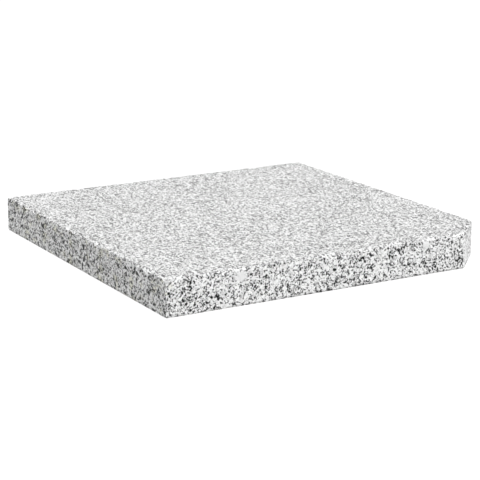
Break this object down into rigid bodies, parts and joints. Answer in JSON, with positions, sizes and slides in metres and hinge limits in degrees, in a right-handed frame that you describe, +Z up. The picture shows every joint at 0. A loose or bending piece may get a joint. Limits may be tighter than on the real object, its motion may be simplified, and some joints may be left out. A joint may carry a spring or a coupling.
{
  "type": "granite slab",
  "caption": "Square plate of pale speckled granite, a firm flat work base, with chipped upper edges and a cut-off corner.",
  "frame": {"origin": "middle of the underside, in the plane that the plate rests on", "axes": "+Z up through the thickness, +X along the front edge towards the cut-off corner, +Y from the front edge to the back edge"},
  "size_m": [0.305, 0.305, 0.03],
  "materials": {
    "granite": "pale grey speckled granite, upper face and chipped edges rough and whitened, sides rough-sawn, dry and matt with faint crystal glints"
  },
  "bodies": {
    "root": {"granite_slab": "granite"}
  },
  "joints": []
}
